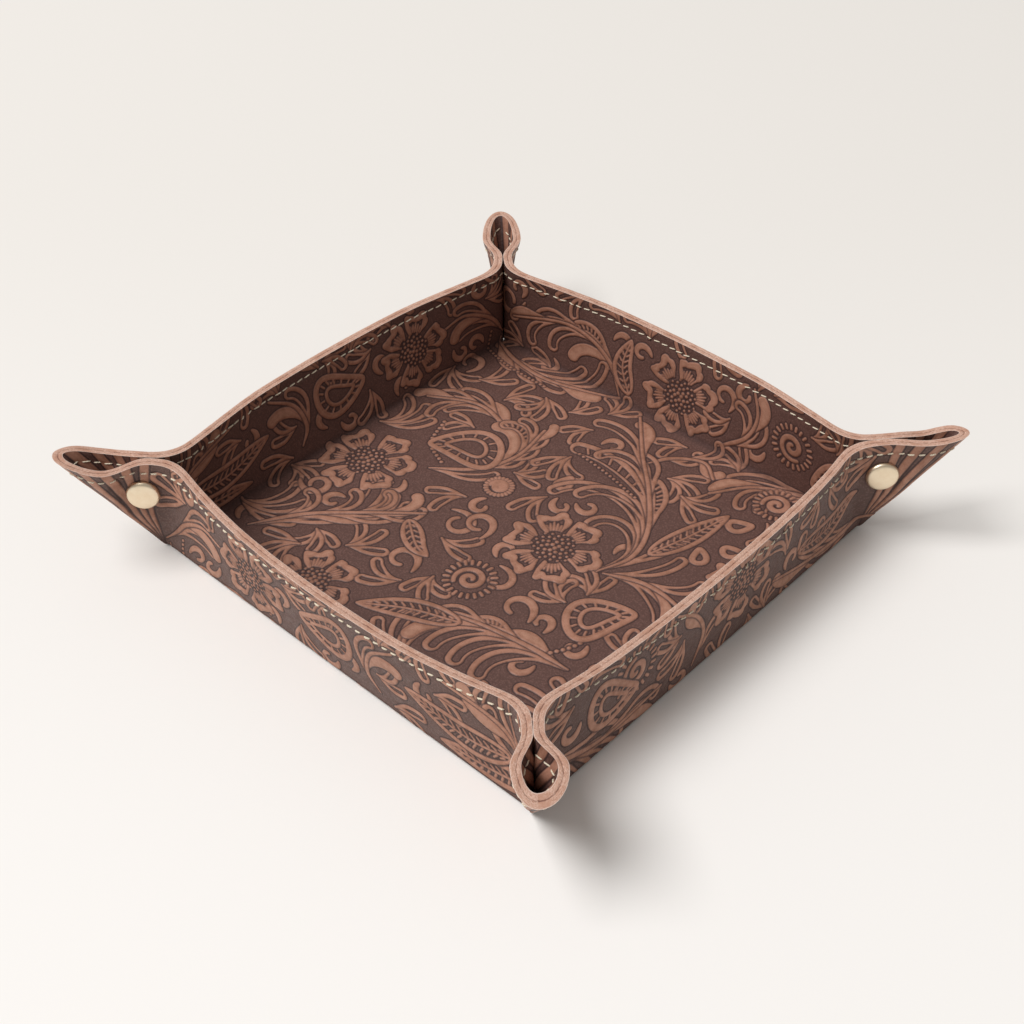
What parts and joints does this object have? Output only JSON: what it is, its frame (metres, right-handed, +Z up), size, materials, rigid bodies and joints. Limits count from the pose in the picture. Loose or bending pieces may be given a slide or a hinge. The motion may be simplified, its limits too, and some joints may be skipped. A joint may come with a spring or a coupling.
{
  "type": "valet tray",
  "caption": "Square leather valet tray with floral tooling inside and out; its walls fold up and each corner is pinched into a looped ear by a snap fastener.",
  "frame": {"origin": "middle of the underside of the flat bottom", "axes": "+Z up; the front wall faces -Y and the right wall +X; the fold lines of the bottom run along X and Y"},
  "size_m": [0.2424, 0.2424, 0.0453],
  "materials": {
    "inner_leather": "tooled, dyed brown, matt to satin",
    "outer_leather": "tooled, dyed brown, matt to satin, raw cut edges",
    "cream_thread": "waxed twisted thread",
    "snap_brass": "satin pale brass",
    "spring_steel": "drawn wire"
  },
  "bodies": {
    "base": {"base_outer": "outer_leather", "base_inner": "inner_leather"},
    "back_wall": {"back_wall_inner": "inner_leather", "back_wall_outer": "outer_leather", "back_wall_thread": "cream_thread"},
    "back_ear_right": {"back_ear_right_inner": "inner_leather", "back_ear_right_outer": "outer_leather", "back_ear_right_thread": "cream_thread", "back_right_stud": "snap_brass", "back_right_eyelet": "snap_brass"},
    "back_ear_left": {"back_ear_left_inner": "inner_leather", "back_ear_left_outer": "outer_leather", "back_ear_left_thread": "cream_thread", "back_left_stud": "snap_brass", "back_left_eyelet": "snap_brass"},
    "left_wall": {"left_wall_inner": "inner_leather", "left_wall_outer": "outer_leather", "left_wall_thread": "cream_thread"},
    "left_ear_back": {"left_ear_back_inner": "inner_leather", "left_ear_back_outer": "outer_leather", "left_ear_back_thread": "cream_thread", "back_left_cap": "snap_brass", "back_left_socket": "snap_brass", "back_left_spring": "spring_steel"},
    "left_ear_front": {"left_ear_front_inner": "inner_leather", "left_ear_front_outer": "outer_leather", "left_ear_front_thread": "cream_thread", "front_left_stud": "snap_brass", "front_left_eyelet": "snap_brass"},
    "front_wall": {"front_wall_inner": "inner_leather", "front_wall_outer": "outer_leather", "front_wall_thread": "cream_thread"},
    "front_ear_left": {"front_ear_left_inner": "inner_leather", "front_ear_left_outer": "outer_leather", "front_ear_left_thread": "cream_thread", "front_left_cap": "snap_brass", "front_left_socket": "snap_brass", "front_left_spring": "spring_steel"},
    "front_ear_right": {"front_ear_right_inner": "inner_leather", "front_ear_right_outer": "outer_leather", "front_ear_right_thread": "cream_thread", "front_right_stud": "snap_brass", "front_right_eyelet": "snap_brass"},
    "right_wall": {"right_wall_inner": "inner_leather", "right_wall_outer": "outer_leather", "right_wall_thread": "cream_thread"},
    "right_ear_front": {"right_ear_front_inner": "inner_leather", "right_ear_front_outer": "outer_leather", "right_ear_front_thread": "cream_thread", "front_right_cap": "snap_brass", "front_right_socket": "snap_brass", "front_right_spring": "spring_steel"},
    "right_ear_back": {"right_ear_back_inner": "inner_leather", "right_ear_back_outer": "outer_leather", "right_ear_back_thread": "cream_thread", "back_right_cap": "snap_brass", "back_right_socket": "snap_brass", "back_right_spring": "spring_steel"}
  },
  "joints": [
    {"name": "front_wall_fold", "type": "hinge", "parent": "base", "child": "front_wall", "pos_m": [0, -0.095, 0], "axis": [1, 0, 0], "range_deg": [0, 60]},
    {"name": "back_wall_fold", "type": "hinge", "parent": "base", "child": "back_wall", "pos_m": [0, 0.095, 0], "axis": [-1, 0, 0], "range_deg": [0, 60]},
    {"name": "left_wall_fold", "type": "hinge", "parent": "base", "child": "left_wall", "pos_m": [-0.095, 0, 0], "axis": [0, -1, 0], "range_deg": [0, 60]},
    {"name": "right_wall_fold", "type": "hinge", "parent": "base", "child": "right_wall", "pos_m": [0.095, 0, 0], "axis": [0, 1, 0], "range_deg": [0, 60]},
    {"name": "back_ear_right_fold", "type": "hinge", "parent": "back_wall", "child": "back_ear_right", "pos_m": [0.095, 0.095, 0], "axis": [0.1082, 0.1082, -0.9882], "range_deg": [0, 42]},
    {"name": "back_ear_left_fold", "type": "hinge", "parent": "back_wall", "child": "back_ear_left", "pos_m": [-0.095, 0.095, 0], "axis": [0.1082, -0.1082, 0.9882], "range_deg": [0, 42]},
    {"name": "left_ear_back_fold", "type": "hinge", "parent": "left_wall", "child": "left_ear_back", "pos_m": [-0.095, 0.095, 0], "axis": [-0.1082, 0.1082, -0.9882], "range_deg": [0, 42]},
    {"name": "left_ear_front_fold", "type": "hinge", "parent": "left_wall", "child": "left_ear_front", "pos_m": [-0.095, -0.095, 0], "axis": [0.1082, 0.1082, 0.9882], "range_deg": [0, 42]},
    {"name": "front_ear_left_fold", "type": "hinge", "parent": "front_wall", "child": "front_ear_left", "pos_m": [-0.095, -0.095, 0], "axis": [-0.1082, -0.1082, -0.9882], "range_deg": [0, 42]},
    {"name": "front_ear_right_fold", "type": "hinge", "parent": "front_wall", "child": "front_ear_right", "pos_m": [0.095, -0.095, 0], "axis": [-0.1082, 0.1082, 0.9882], "range_deg": [0, 42]},
    {"name": "right_ear_front_fold", "type": "hinge", "parent": "right_wall", "child": "right_ear_front", "pos_m": [0.095, -0.095, 0], "axis": [0.1082, -0.1082, -0.9882], "range_deg": [0, 42]},
    {"name": "right_ear_back_fold", "type": "hinge", "parent": "right_wall", "child": "right_ear_back", "pos_m": [0.095, 0.095, 0], "axis": [-0.1082, -0.1082, 0.9882], "range_deg": [0, 42]}
  ],
  "couplings": [
    {"joint": "back_wall_fold", "follows": "front_wall_fold", "ratio": 1},
    {"joint": "left_wall_fold", "follows": "front_wall_fold", "ratio": 1},
    {"joint": "right_wall_fold", "follows": "front_wall_fold", "ratio": 1},
    {"joint": "back_ear_right_fold", "follows": "front_wall_fold", "ratio": 0.695},
    {"joint": "back_ear_left_fold", "follows": "front_wall_fold", "ratio": 0.695},
    {"joint": "left_ear_back_fold", "follows": "front_wall_fold", "ratio": 0.695},
    {"joint": "left_ear_front_fold", "follows": "front_wall_fold", "ratio": 0.695},
    {"joint": "front_ear_left_fold", "follows": "front_wall_fold", "ratio": 0.695},
    {"joint": "front_ear_right_fold", "follows": "front_wall_fold", "ratio": 0.695},
    {"joint": "right_ear_front_fold", "follows": "front_wall_fold", "ratio": 0.695},
    {"joint": "right_ear_back_fold", "follows": "front_wall_fold", "ratio": 0.695}
  ]
}
